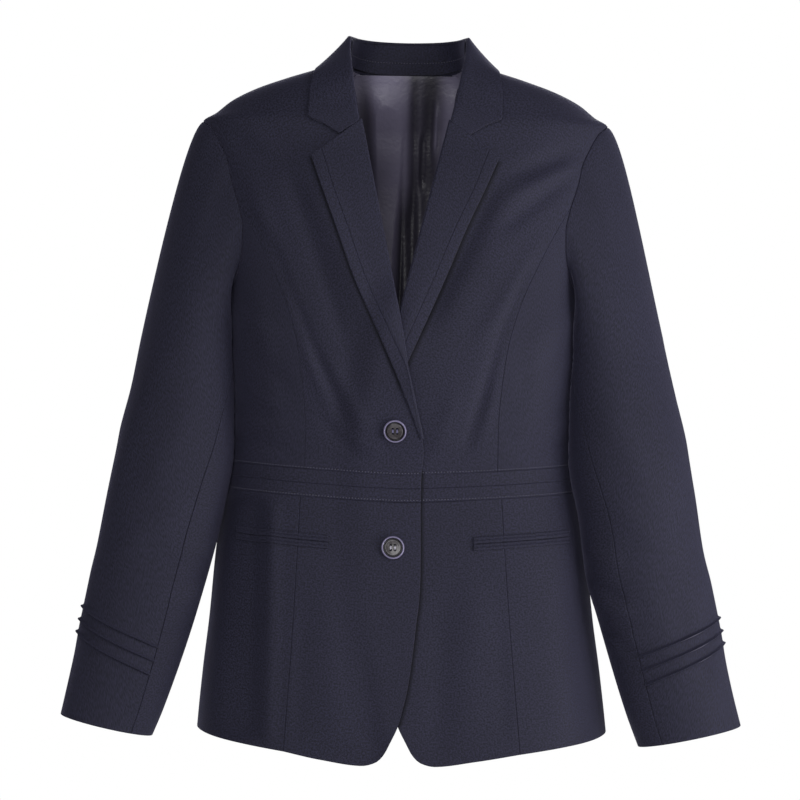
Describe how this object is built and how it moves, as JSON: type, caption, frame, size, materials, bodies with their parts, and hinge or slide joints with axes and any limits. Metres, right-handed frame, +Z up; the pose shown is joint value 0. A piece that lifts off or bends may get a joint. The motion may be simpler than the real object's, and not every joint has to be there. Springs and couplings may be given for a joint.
{
  "type": "women's blazer",
  "caption": "Hollow single-breasted uniform blazer with notch lapels, princess seams, a waist insert, welt pockets and tucked cuffs.",
  "frame": {"origin": "middle of the neck base, level with the tops of the shoulder seams, where the wearer's neck and shoulders hold the garment", "axes": "+Z up, the fronts face -Y, +X towards the wearer's left"},
  "size_m": [0.662, 0.2221, 0.6968],
  "materials": {
    "suiting": "fine dark navy suiting, plain weave with a soft sheen",
    "lining": "dark grey satin lining",
    "button": "polished dark resin with a raised rim"
  },
  "bodies": {
    "root": {"front_R": "suiting", "front_L": "suiting", "side_front_R": "suiting", "side_front_L": "suiting", "back_R": "suiting", "back_L": "suiting", "waist_upper_front_R": "suiting", "waist_upper_front_L": "suiting", "waist_upper_back": "suiting", "waist_lower_front_R": "suiting", "waist_lower_front_L": "suiting", "waist_lower_back": "suiting", "skirt_front_R": "suiting", "skirt_front_L": "suiting", "skirt_side_R": "suiting", "skirt_side_L": "suiting", "skirt_back_R": "suiting", "skirt_back_L": "suiting", "welt_upper_R": "suiting", "welt_lower_R": "suiting", "welt_upper_L": "suiting", "welt_lower_L": "suiting", "lapel_R": "suiting", "lapel_L": "suiting", "lapel_band_R": "suiting", "lapel_band_L": "suiting", "collar_fall": "suiting", "collar_stand": "suiting", "top_sleeve_R": "suiting", "top_sleeve_L": "suiting", "under_sleeve_R": "suiting", "under_sleeve_L": "suiting", "button_upper": "button", "button_lower": "button", "back_lining": "lining"}
  },
  "joints": []
}
